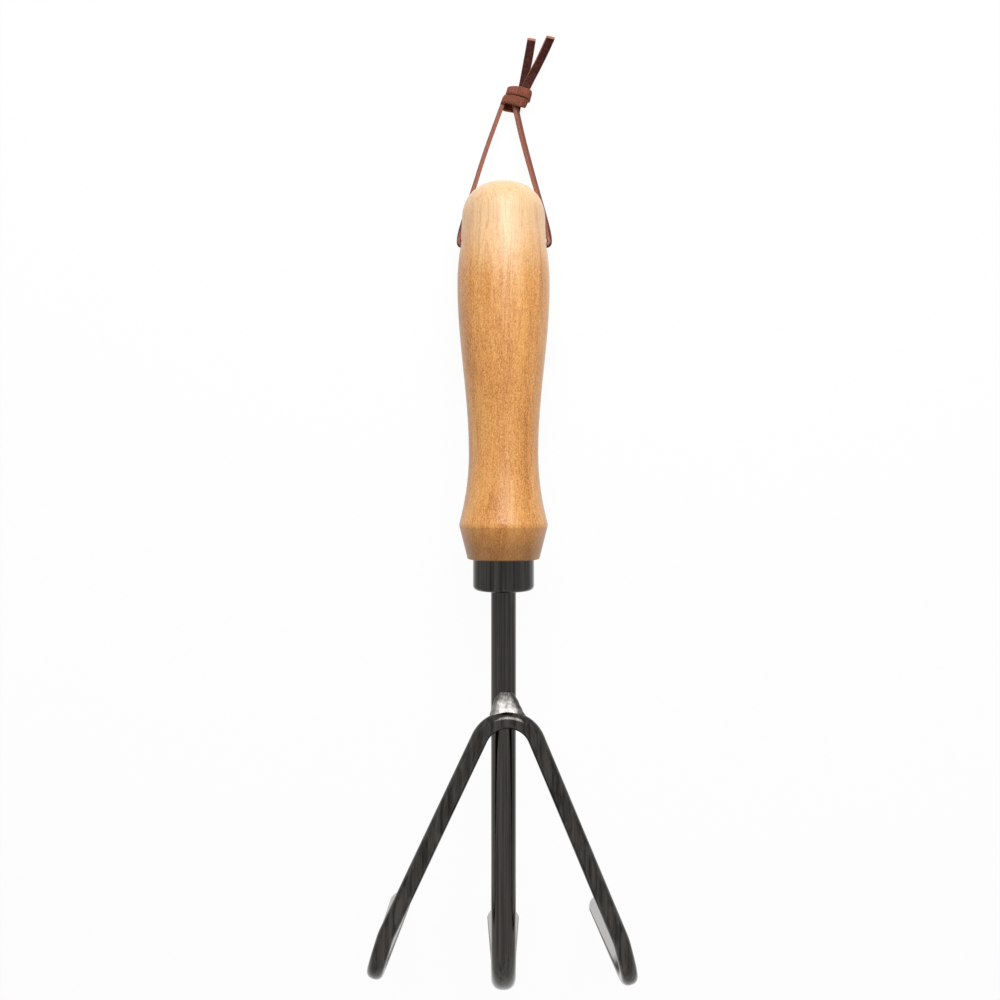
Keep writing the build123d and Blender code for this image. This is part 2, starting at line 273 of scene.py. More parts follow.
@dataclass(frozen=True)
class OiledMaple:
    """Turned, sanded and oiled maple: honey-coloured and satin, paler at the butt, where it is rubbed bare and
    where a highlight from the light beyond the butt is painted in.
    """

    frame: ToolFrame
    rubbed: str = "#EED0A6"  # the butt, where the oil has worn off, with a painted highlight from the light beyond the butt
    pale: str = "#EDB36C"
    honey: str = "#D5924A"
    brown: str = "#A8672B"  # between the fibres, and in the pores
    glancing: str = "#F4D8BC"  # mixed in by the angle of view, in place of a sheen
    glancing_most: float = 0.25
    rubbed_and_highlit_most: float = 0.64  # share of bare wood and painted highlight at the butt
    rubbed_and_highlit_to: float = 13.0  # mm from the butt, where the bare wood and painted highlight start to fade
    oiled_from: float = 41.0  # mm from the butt
    nose_painted_shade_from: float = 125.0  # mm from the butt, where the painted shade next to the ferrule starts
    nose_painted_shade_to: float = 132.0
    nose_painted_shade_kept: float = 0.6  # share of its brightness that the wood keeps under the painted shade
    soaked_and_shaded_most: float = 0.45  # share of brown on the end grain that faces the prongs: oil that it soaks up, and painted shade where it faces away from the light
    wander: float = 40.0  # mm that the figure moves the edge of the rubbed part, with its painted highlight, by
    figure_length: float = 120.0  # mm along the grain, of the broad lighter and darker bands
    figure_width: float = 6.0  # mm
    fibre_length: float = 12.0  # mm
    fibre_width: float = 0.6  # mm
    ring_length: float = 150.0  # mm
    ring_width: float = 3.6  # mm between the lines that the growth rings leave
    ring_levels: tuple[float, float] = (0.46, 0.56)  # values of the rings' noise that a line is drawn at
    ring_edge: float = 0.02  # of that noise, from the middle of a line to its edge
    ring_shade: float = 0.3  # share of brown in the middle of a line
    pore_shade: float = 0.35
    pore_length: float = 2.4  # mm
    pore_width: float = 0.3  # mm, three times as wide as real ones, so that they show
    grit: float = 0.42  # mm, the cut ends of fibres; coarser than real ones, so that they show
    fibre_weight: float = 0.7  # how much the fibres add to the tone, where the figure adds 1
    grit_weight: float = 1.4
    tones: tuple[float, float] = (1.15, 1.95)  # sums at which the tone is palest and brownest
    relief: float = 0.06 * MM

    def grain(self, tree: Tree, place: Socket, length: float, width: float, **inputs: float) -> Socket:
        """Add a noise whose streaks have a length along the grain and a width across it, in mm."""
        return stretched_noise(tree, place, (1 / length, 1 / width, 1 / width), **inputs)

    def ring_lines(self, tree: Tree, place: Socket) -> Socket:
        """Draw the thin lines that the growth rings leave.

        Args:
            tree: The material's tree.
            place: Coordinates in mm, with X along the grain.

        Returns:
            Share of brown that they add.
        """
        rings = self.grain(tree, place, self.ring_length, self.ring_width, Detail=1.0)
        stops = [(level + side * self.ring_edge, 0.0 if side else self.ring_shade)
                 for level in self.ring_levels for side in (-1, 0, 1)]
        return paint_ramp(add_node(tree, "ValToRGB", {0: rings}), stops).outputs[0]

    def darken(self, tree: Tree, colour: Socket, along: Socket) -> Socket:
        """Darken the end grain that faces the prongs, with oil and painted shade, and paint shade on the wood
        next to the ferrule.

        Args:
            tree: The material's tree.
            colour: The wood's colour.
            along: Distance from the butt, in mm.

        Returns:
            The darkened colour.
        """
        # end grain that faces the prongs turns brown: oil that it soaks up, and painted shade where it faces
        # away from the light
        facing = add_node(tree, "VectorMath", {
            0: add_node(tree, "NewGeometry").outputs["Normal"], 1: self.frame.axis}, operation="DOT_PRODUCT")
        soaked_and_shaded = add_node(tree, "MapRange", {
            "Value": facing.outputs["Value"], "From Min": 0.1, "From Max": 0.3, "To Max": self.soaked_and_shaded_most})
        colour = add_node(tree, "Mix", {
            0: soaked_and_shaded.outputs[0], 6: colour, 7: linear(self.brown)}, data_type="RGBA").outputs[2]
        # painted shade on the wood next to the ferrule, which turns away from the light
        nose_painted_shade = add_node(tree, "MapRange", {
            "Value": along, "From Min": self.nose_painted_shade_from, "From Max": self.nose_painted_shade_to,
            "To Min": 1.0, "To Max": self.nose_painted_shade_kept})
        return add_node(tree, "VectorMath", {
            0: colour, "Scale": nose_painted_shade.outputs[0]}, operation="SCALE").outputs[0]

    def build(self) -> Material:
        """Make the wood's material."""
        material, tree = new_material("oiled_maple")
        place = self.frame.millimetres(tree)
        along = add_node(tree, "SeparateXYZ", {0: place}).outputs["X"]
        figure = self.grain(tree, place, self.figure_length, self.figure_width, Detail=2.0, Distortion=0.5)
        fibre = self.grain(tree, place, self.fibre_length, self.fibre_width, Detail=3.0, Roughness=0.6)
        pores = self.grain(tree, place, self.pore_length, self.pore_width, Detail=1.0)
        grit = self.grain(tree, place, 1.5 * self.grit, self.grit, Detail=1.0, Roughness=0.6)
        pits = paint_ramp(add_node(tree, "ValToRGB", {0: pores}), [(0.6, 0.0), (0.74, 1.0)]).outputs[0]
        speckles = add_node(tree, "Math", {0: pits, 1: self.pore_shade}, operation="MULTIPLY").outputs[0]
        tone = add_node(tree, "Math", {0: fibre, 1: self.fibre_weight, 2: figure}, operation="MULTIPLY_ADD")
        tone = add_node(tree, "Math", {
            0: grit, 1: self.grit_weight, 2: tone.outputs[0]}, operation="MULTIPLY_ADD")
        share = add_node(tree, "MapRange", {
            "Value": tone.outputs[0], "From Min": self.tones[0], "From Max": self.tones[1]})
        colour = paint_ramp(add_node(tree, "ValToRGB", {0: share.outputs[0]}), [
            (0.0, self.pale), (0.55, self.honey), (1.0, self.brown)]).outputs[0]
        # pale butt: bare wood where the oil has worn off, and a painted highlight from the light beyond the
        # butt
        edge = add_node(tree, "Math", {0: figure, 1: self.wander, 2: along}, operation="MULTIPLY_ADD")
        bare = add_node(tree, "MapRange", {
            "Value": edge.outputs[0], "From Min": self.wander / 2 + self.oiled_from,
            "From Max": self.wander / 2 + self.rubbed_and_highlit_to, "To Max": self.rubbed_and_highlit_most},
            interpolation_type="SMOOTHSTEP").outputs[0]
        rings = self.ring_lines(tree, place)
        for share, over in ((bare, self.rubbed), (rings, self.brown), (speckles, self.brown)):
            colour = add_node(tree, "Mix", {
                0: share, 6: colour, 7: linear(over)}, data_type="RGBA").outputs[2]
        colour = self.darken(tree, colour, along)
        slanted = add_node(tree, "MapRange", {
            "Value": add_node(tree, "LayerWeight", {"Blend": 0.5}).outputs["Facing"],
            "From Min": 0.35, "From Max": 0.9, "To Max": self.glancing_most})
        colour = add_node(tree, "Mix", {
            0: slanted.outputs[0], 6: colour, 7: linear(self.glancing)}, data_type="RGBA").outputs[2]
        height = add_node(tree, "Math", {0: pits, 1: -0.8, 2: grit}, operation="MULTIPLY_ADD")
        bump = add_node(tree, "Bump", {"Height": height.outputs[0], "Distance": self.relief, "Strength": 0.6})
        sheen = add_node(tree, "MapRange", {"Value": fibre, "To Min": 0.3, "To Max": 0.44})
        shader = add_node(tree, "BsdfPrincipled", {
            "Base Color": colour, "Roughness": sheen.outputs[0], "IOR": 1.5, "Normal": bump.outputs[0]})
        add_node(tree, "OutputMaterial", {0: shader.outputs[0]})
        return material


@dataclass(frozen=True)
class PolishedSteel:
    """Buffed stainless steel with draw lines and dull smears, the prongs' inner faces ground satin.

    Its two dark colours are much darker than bare stainless, which is about #C7C6C3. They stand in for dark
    surroundings that it would mirror, so it looks blackened in other light.
    """

    frame: ToolFrame
    metal: str = "#4A4744"
    drawn_dark: str = "#262524"  # the darker of its draw lines
    satin: str = "#C2C0BE"
    shine: float = 0.07
    smear_shine: float = 0.08  # added to the roughness where it is smeared
    smear_scale: float = 0.12  # per mm
    ground_shine: float = 0.42
    ground_from: float = -5.0  # mm above the bar's axis, where the ground faces fade in
    ground_to: float = -13.0
    line_length: float = 20.0  # mm
    line_width: float = 0.25  # mm between draw lines, as coarse as they need to be to show
    line_weight: float = 0.6  # how much the lines add to the streaks, where the bands add 1
    band_scale: Sides = (0.012, 0.8, 0.8)  # per mm, along the bar and across it, of the broader streaks
    scratch_length: float = 0.3  # mm, of the grinder's scratches
    scratch_width: float = 0.125  # mm
    line_relief: float = 0.04 * MM
    scratch_relief: float = 0.03 * MM

    def ground(self, tree: Tree, place: Socket) -> Socket:
        """Find the faces that were ground: those of the prongs that look back towards the handle.

        Args:
            tree: The material's tree.
            place: Coordinates in mm, with X along the tool and Z up from its axis.

        Returns:
            1 on the ground faces and 0 elsewhere.
        """
        depth = add_node(tree, "MapRange", {
            "Value": add_node(tree, "SeparateXYZ", {0: place}).outputs["Z"],
            "From Min": self.ground_from, "From Max": self.ground_to}, interpolation_type="SMOOTHSTEP")
        facing = add_node(tree, "VectorMath", {
            0: add_node(tree, "NewGeometry").outputs["Normal"], 1: -self.frame.axis}, operation="DOT_PRODUCT")
        inner = add_node(tree, "MapRange", {
            "Value": facing.outputs["Value"], "From Min": 0.35, "From Max": 0.7},
            interpolation_type="SMOOTHSTEP")
        both = add_node(tree, "Math", {0: depth.outputs[0], 1: inner.outputs[0]}, operation="MULTIPLY")
        return both.outputs[0]

    def build(self) -> Material:
        """Make the steel's material."""
        material, tree = new_material("polished_stainless")
        place = self.frame.millimetres(tree)
        ground = self.ground(tree, place)
        drawn = (1 / self.line_length, 1 / self.line_width, 1 / self.line_width)
        lines = stretched_noise(tree, place, drawn, Detail=4.0, Roughness=0.7)
        across = (1 / self.scratch_width, 1 / self.scratch_width, 1 / self.scratch_length)
        scratches = stretched_noise(tree, place, across, Detail=3.0, Roughness=0.7)
        smears = add_node(tree, "TexNoise", {
            "Vector": place, "Scale": self.smear_scale, "Detail": 4.0, "Roughness": 0.6})
        dull = add_node(tree, "MapRange", {
            "Value": smears.outputs[0], "From Min": 0.4, "From Max": 0.75,
            "To Min": self.shine, "To Max": self.shine + self.smear_shine})
        rough = add_node(tree, "MapRange", {
            "Value": ground, "To Min": dull.outputs[0], "To Max": self.ground_shine})
        bands = stretched_noise(tree, place, self.band_scale, Detail=2.0, Roughness=0.5)
        streak = add_node(tree, "Math", {0: lines, 1: self.line_weight, 2: bands}, operation="MULTIPLY_ADD")
        streak = add_node(tree, "MapRange", {"Value": streak.outputs[0], "From Min": 0.6, "From Max": 1.0})
        drawn_metal = add_node(tree, "Mix", {
            0: streak.outputs[0], 6: linear(self.drawn_dark), 7: linear(self.metal)}, data_type="RGBA")
        tint = add_node(tree, "Mix", {
            0: ground, 6: drawn_metal.outputs[2], 7: linear(self.satin)}, data_type="RGBA")
        relief = add_node(tree, "Mix", {0: ground, 2: lines, 3: scratches})
        depth = add_node(tree, "MapRange", {
            "Value": ground, "To Min": self.line_relief, "To Max": self.scratch_relief})
        bump = add_node(tree, "Bump", {
            "Height": relief.outputs[0], "Distance": depth.outputs[0], "Strength": 0.5})
        shader = add_node(tree, "BsdfPrincipled", {
            "Base Color": tint.outputs[2], "Metallic": 1.0, "Roughness": rough.outputs[0],
            "Normal": bump.outputs[0]})
        add_node(tree, "OutputMaterial", {0: shader.outputs[0]})
        return material


@dataclass(frozen=True)
class WeldMetal:
    """Stainless weld, wire-brushed: bright and lumpy, straw in places, dark along its toe and sides with oxide
    and painted shade.
    """

    frame: ToolFrame
    bright: str = "#94918E"
    straw: str = "#7A7368"
    oxide_and_shade: str = "#474543"
    toe_from: float = 183.0  # mm from the butt, where the oxide and painted shade are full
    toe_to: float = 188.5  # mm from the butt, where the oxide and painted shade end
    side_from: float = 2.4  # mm from the middle of the bar, where the oxide and painted shade along the sides start
    side_to: float = 7.5
    lump: float = 1.6 * MM
    lump_weight: float = 0.9  # how far the lumps break up the edge of the oxide and painted shade
    relief: float = 0.15 * MM

    def build(self) -> Material:
        """Make the weld's material."""
        material, tree = new_material("brushed_weld")
        place = add_node(tree, "TexCoord").outputs["Object"]
        lumps = add_node(tree, "TexNoise", {
            "Vector": place, "Scale": 1 / self.lump, "Detail": 3.0, "Roughness": 0.55}).outputs[0]
        stain = add_node(tree, "MapRange", {"Value": lumps, "From Min": 0.58, "From Max": 0.8}).outputs[0]
        colour = add_node(tree, "Mix", {
            0: stain, 6: linear(self.bright), 7: linear(self.straw)}, data_type="RGBA")
        spot = add_node(tree, "SeparateXYZ", {0: self.frame.millimetres(tree)})
        # oxide and painted shade along the toe and sides, where the bead catches no highlight
        toe = add_node(tree, "MapRange", {
            "Value": spot.outputs["X"], "From Min": self.toe_to, "From Max": self.toe_from}).outputs[0]
        off_middle = add_node(tree, "Math", {0: spot.outputs["Y"]}, operation="ABSOLUTE").outputs[0]
        flank = add_node(tree, "MapRange", {
            "Value": off_middle, "From Min": self.side_from, "From Max": self.side_to}).outputs[0]
        rim = add_node(tree, "Math", {0: toe, 1: flank}, operation="ADD").outputs[0]
        patchy = add_node(tree, "Math", {0: lumps, 1: self.lump_weight, 2: rim}, operation="MULTIPLY_ADD")
        dark = add_node(tree, "MapRange", {
            "Value": patchy.outputs[0], "From Min": 0.5, "From Max": 1.3}).outputs[0]
        colour = add_node(tree, "Mix", {
            0: dark, 6: colour.outputs[2], 7: linear(self.oxide_and_shade)}, data_type="RGBA")
        rough = add_node(tree, "MapRange", {"Value": lumps, "To Min": 0.34, "To Max": 0.54})
        bump = add_node(tree, "Bump", {"Height": lumps, "Distance": self.relief, "Strength": 0.6})
        shader = add_node(tree, "BsdfPrincipled", {
            "Base Color": colour.outputs[2], "Metallic": 1.0, "Roughness": rough.outputs[0],
            "Normal": bump.outputs[0]})
        add_node(tree, "OutputMaterial", {0: shader.outputs[0]})
        return material


@dataclass(frozen=True)
class CuredEpoxy:
    """Two-part epoxy, cast in the bore: amber, glossy, with small trapped bubbles."""

    amber: str = "#C9A765"
    pale: str = "#E8D29C"  # in its bubbles
    bubble: float = 0.8 * MM
    relief: float = 0.1 * MM

    def build(self) -> Material:
        """Make the glue's material."""
        material, tree = new_material("cured_epoxy")
        place = add_node(tree, "TexCoord").outputs["Object"]
        bubbles = add_node(tree, "TexVoronoi", {"Vector": place, "Scale": 1 / self.bubble})
        rims = add_node(tree, "MapRange", {
            "Value": bubbles.outputs["Distance"], "From Min": 0.1, "From Max": 0.3}).outputs[0]
        colour = add_node(tree, "Mix", {
            0: rims, 6: linear(self.pale), 7: linear(self.amber)}, data_type="RGBA")
        bump = add_node(tree, "Bump", {"Height": rims, "Distance": self.relief, "Strength": 0.4})
        shader = add_node(tree, "BsdfPrincipled", {
            "Base Color": colour.outputs[2], "Roughness": 0.2, "IOR": 1.55, "Normal": bump.outputs[0]})
        add_node(tree, "OutputMaterial", {0: shader.outputs[0]})
        return material


@dataclass(frozen=True)
class ThongLeather:
    """Dyed leather thong: dark red-brown grain side, paler cut edges, lighter where it is pulled tight."""

    grain: str = "#351611"
    worn: str = "#834C3C"
    edge: str = "#9C6654"
    raw: str = "#9E6A56"
    fibre_scale: Sides = (5.0, 1.6, 1.0)  # per mm, round the strip and along it
    mottle_scale: float = 900.0  # per metre
    shades: tuple[float, float] = (0.35, 1.6)  # darkest and lightest that the fibres make its colour
    relief: float = 0.2 * MM

    def build(self) -> Material:
        """Make the leather's material."""
        material, tree = new_material("thong_leather")
        strip = add_node(tree, "UVMap", uv_map="strip").outputs[0]
        cut = add_node(tree, "Attribute", attribute_name="cut").outputs["Fac"]
        wear = add_node(tree, "Attribute", attribute_name="wear").outputs["Fac"]
        place = add_node(tree, "TexCoord").outputs["Object"]
        fibres = stretched_noise(tree, strip, self.fibre_scale, Detail=4.0, Roughness=0.65)
        mottle = add_node(tree, "TexNoise", {
            "Vector": place, "Scale": self.mottle_scale, "Detail": 3.0, "Roughness": 0.6})
        rubbed = add_node(tree, "MapRange", {
            "Value": add_node(tree, "Math", {0: wear, 1: mottle.outputs[0]}, operation="ADD").outputs[0],
            "From Min": 0.5, "From Max": 1.5,
        })
        face = add_node(tree, "Mix", {
            0: rubbed.outputs[0], 6: linear(self.grain), 7: linear(self.worn)}, data_type="RGBA")
        sides = paint_ramp(add_node(tree, "ValToRGB", {0: cut}), [(0.5, self.edge), (1.0, self.raw)])
        cut_face = add_node(tree, "MapRange", {"Value": cut, "From Max": 0.5}).outputs[0]
        both = add_node(tree, "Mix", {0: cut_face, 6: face.outputs[2], 7: sides.outputs[0]}, data_type="RGBA")
        shade = add_node(tree, "MapRange", {
            "Value": fibres, "From Min": 0.3, "From Max": 0.7,
            "To Min": self.shades[0], "To Max": self.shades[1]})
        colour = add_node(tree, "VectorMath", {
            0: both.outputs[2], "Scale": shade.outputs[0]}, operation="SCALE")
        bump = add_node(tree, "Bump", {"Height": fibres, "Distance": self.relief, "Strength": 0.7})
        shader = add_node(tree, "BsdfPrincipled", {
            "Base Color": colour.outputs[0], "Roughness": 0.62, "IOR": 1.45, "Specular IOR Level": 0.1,
            "Normal": bump.outputs[0]})
        add_node(tree, "OutputMaterial", {0: shader.outputs[0]})
        return material


# ---- leather lace ----


@dataclass(frozen=True)
class Stop:
    """A control point of a strip's route in mm, and the direction that its width points in there."""

    place: Sides
    width_way: Sides


@dataclass
class Strip:
    """A flat strip of leather that follows a smooth line."""

    name: str
    stops: Sequence[Stop]
    width: float
    thickness: float
    slant: float = 0.0  # how far the far end's top runs short of its underside
    bias: float = 0.0  # how far the far end's one edge runs on past its other
    fresh_for: float = 0.0  # length at its far end that keeps its dark grain side
    painted_shade_for: float = 0.0  # length at its near end that keeps its dark grain colour, as painted shade where it hugs the handle
    ROUNDING = 0.32 * MM
    CORNER_POINTS = 3
    WORN_FADE = 3.0 * MM  # over which the painted shade ends
    PAINTED_SHADE_FADE = 8.0 * MM  # over which the sheltered length ends
    PAINTED_SHADE = 0.65  # share of the wear that the painted shade takes away
    TIGHT_BEND = 1.6 * MM  # radius of a bend that wears the leather fully pale
    UNEVENNESS = 0.06  # share of its width that the thong varies by
    UNEVEN_SCALE = 260.0  # per metre
    END_RIM = 0.06 * MM
    END_FADE = 3.2 * MM  # length over which the far end's slant and bias build up
    EDGE, RAW = 0.5, 1.0  # values of the "cut" attribute on a side edge and on an end
    EDGE_FROM = 0.6  # how far outwards, of 1, the section has to face to be a side edge

    def spline_points(self, places: Sequence[Vector]) -> list[Vector]:
        """Points of the NURBS spline that a row of control points gives.

        Args:
            places: The control points.

        Returns:
            Points along the spline, close together.
        """
        curve = bpy.data.curves.new(self.name + "_route", "CURVE")
        curve.dimensions = "3D"
        spline = curve.splines.new("NURBS")
        spline.points.add(len(places) - 1)
        for point, place in zip(spline.points, places):
            point.co = (*place, 1.0)
        spline.order_u = 3
        spline.use_endpoint_u = True
        spline.resolution_u = 14
        holder = put_in_scene(self.name + "_route", curve)
        bpy.context.view_layer.update()
        graph = bpy.context.evaluated_depsgraph_get()
        mesh = bpy.data.meshes.new_from_object(holder.evaluated_get(graph))
        points = [vertex.co.copy() for vertex in mesh.vertices]
        bpy.data.objects.remove(holder)
        bpy.data.curves.remove(curve)
        bpy.data.meshes.remove(mesh)
        return points

    def section(self) -> list[tuple[float, float, float, float]]:
        """Outline of the strip's cross-section.

        Returns:
            For each point its place across and through the strip, its "cut" value, and its distance round the
            outline.
        """
        half_wide, half_thick, r = self.width / 2, self.thickness / 2, self.ROUNDING
        points: list[tuple[float, float, float]] = []
        for side, lift in ((1, -1), (1, 1), (-1, 1), (-1, -1)):
            centre = (side * (half_wide - r), lift * (half_thick - r))
            start = math.atan2(lift, side) - math.pi / 4
            for step in range(self.CORNER_POINTS + 1):
                angle = start + math.pi / 2 * step / self.CORNER_POINTS
                cut = self.EDGE if abs(math.cos(angle)) > self.EDGE_FROM else 0.0
                points.append((centre[0] + r * math.cos(angle), centre[1] + r * math.sin(angle), cut))
        outline, walked = [], 0.0
        for index, (across, through, cut) in enumerate(points):
            if index:
                walked += math.dist(points[index - 1][:2], (across, through))
            outline.append((across, through, cut, walked))
        return outline

    def skin(
        self, mesh: bmesh.types.BMesh, rings: Sequence[list[bmesh.types.BMVert]], lengths: Sequence[float],
        outline: Sequence[tuple[float, ...]],
    ) -> None:
        """Cover the strip's rings of points with faces, and lay the leather's fibres along them.

        Args:
            mesh: The strip's mesh.
            rings: The rings, in order.
            lengths: Length from the near end to each of them.
            outline: The cross-section that they follow.
        """
        uv_layer = mesh.loops.layers.uv["strip"]
        for row, (ring, following) in enumerate(zip(rings, rings[1:])):
            for i, (*_, round_i) in enumerate(outline):
                j = (i + 1) % len(outline)
                face = mesh.faces.new((ring[i], ring[j], following[j], following[i]))
                round_j = outline[j][3] if j else round_i
                corners = ((round_i, lengths[row]), (round_j, lengths[row]),
                           (round_j, lengths[row + 1]), (round_i, lengths[row + 1]))
                for loop, (u, v) in zip(face.loops, corners):
                    loop[uv_layer].uv = (u / MM, v / MM)
                face.smooth = True

    def build(self, frame: ToolFrame) -> tuple[Piece, list[Vector]]:
        """Make the strip's mesh.

        Args:
            frame: Where the tool lies.

        Returns:
            The strip and the points of the line that it follows.
        """
        places = [frame.on_table(*stop.place) for stop in self.stops]
        tips = [place + Vector(stop.width_way).normalized() * MM for place, stop in zip(places, self.stops)]
        line = self.spline_points(places)
        side_line = self.spline_points(tips)
        outline = self.section()
        mesh = bmesh.new()
        mesh.loops.layers.uv.new("strip")
        cut_layer = mesh.verts.layers.float.new("cut")
        wear_layer = mesh.verts.layers.float.new("wear")
        rings: list[list[bmesh.types.BMVert]] = []
        lengths: list[float] = []
        walked = 0.0
        total = sum((b - a).length for a, b in zip(line, line[1:]))
        for index, (place, side_place) in enumerate(zip(line, side_line)):
            before, after = line[max(index - 1, 0)], line[min(index + 1, len(line) - 1)]
            heading = (after - before).normalized()
            side = side_place - place
            side = (side - heading * side.dot(heading)).normalized()
            through = heading.cross(side)
            if index:
                walked += (place - line[index - 1]).length
            lengths.append(walked)
            swell = 1 + self.UNEVENNESS * noise.noise(place * self.UNEVEN_SCALE)
            skew = max(0.0, 1 - (total - walked) / self.END_FADE)
            wear = min(1.0, max(0.0, (total - self.fresh_for - walked) / self.WORN_FADE))
            if 0 < index < len(line) - 1:
                turn = (place - before).angle(after - place, 0.0)
                wear = max(wear, min(1.0, 2 * turn * self.TIGHT_BEND / max((after - before).length, 1e-6)))
            # painted shade: the strip keeps its dark grain colour where it hugs the handle
            painted_shade = min(1.0, max(0.0, (self.painted_shade_for - walked) / self.PAINTED_SHADE_FADE))
            wear *= 1 - self.PAINTED_SHADE * painted_shade
            ring = []
            for across, deep, cut, _ in outline:
                at = place + side * across * swell + through * deep
                short = self.slant * (0.5 + math.copysign(deep, deep * through.z) / self.thickness)
                at += heading * skew * (self.bias * across / self.width - short)
                vertex = mesh.verts.new(at)
                vertex[cut_layer] = cut
                vertex[wear_layer] = wear
                ring.append(vertex)
            rings.append(ring)
        self.skin(mesh, rings, lengths, outline)
        for ring in (rings[0], rings[-1]):
            self.close_end(mesh, ring, outline)
        bmesh.ops.recalc_face_normals(mesh, faces=mesh.faces)
        data = bpy.data.meshes.new(self.name)
        mesh.to_mesh(data)
        mesh.free()
        return put_in_scene(self.name, data), line

    def close_end(
        self, mesh: bmesh.types.BMesh, ring: list[bmesh.types.BMVert], outline: Sequence[tuple[float, ...]]
    ) -> None:
        """Close one end of the strip with a flat face of raw leather.

        Args:
            mesh: The strip's mesh.
            ring: The end's ring of points.
            outline: The cross-section that the ring follows.
        """
        uv_layer = mesh.loops.layers.uv["strip"]
        cut_layer = mesh.verts.layers.float["cut"]
        rim = mesh.faces.new(ring)
        inset = bmesh.ops.inset_region(mesh, faces=[rim], thickness=self.END_RIM)
        for face in inset["faces"]:
            face.smooth = False
        for vertex in rim.verts:
            vertex[cut_layer] = self.RAW
        for face in (rim, *inset["faces"]):
            for loop in face.loops:
                nearest = min(range(len(ring)), key=lambda i: (ring[i].co - loop.vert.co).length)
                loop[uv_layer].uv = (outline[nearest][0] / MM, outline[nearest][1] / MM)
        rim.smooth = False


class Side(Enum):
    """Side of the tool that a leg of the lace is on, seen from above with the butt up."""

    LEFT = -1
    RIGHT = 1


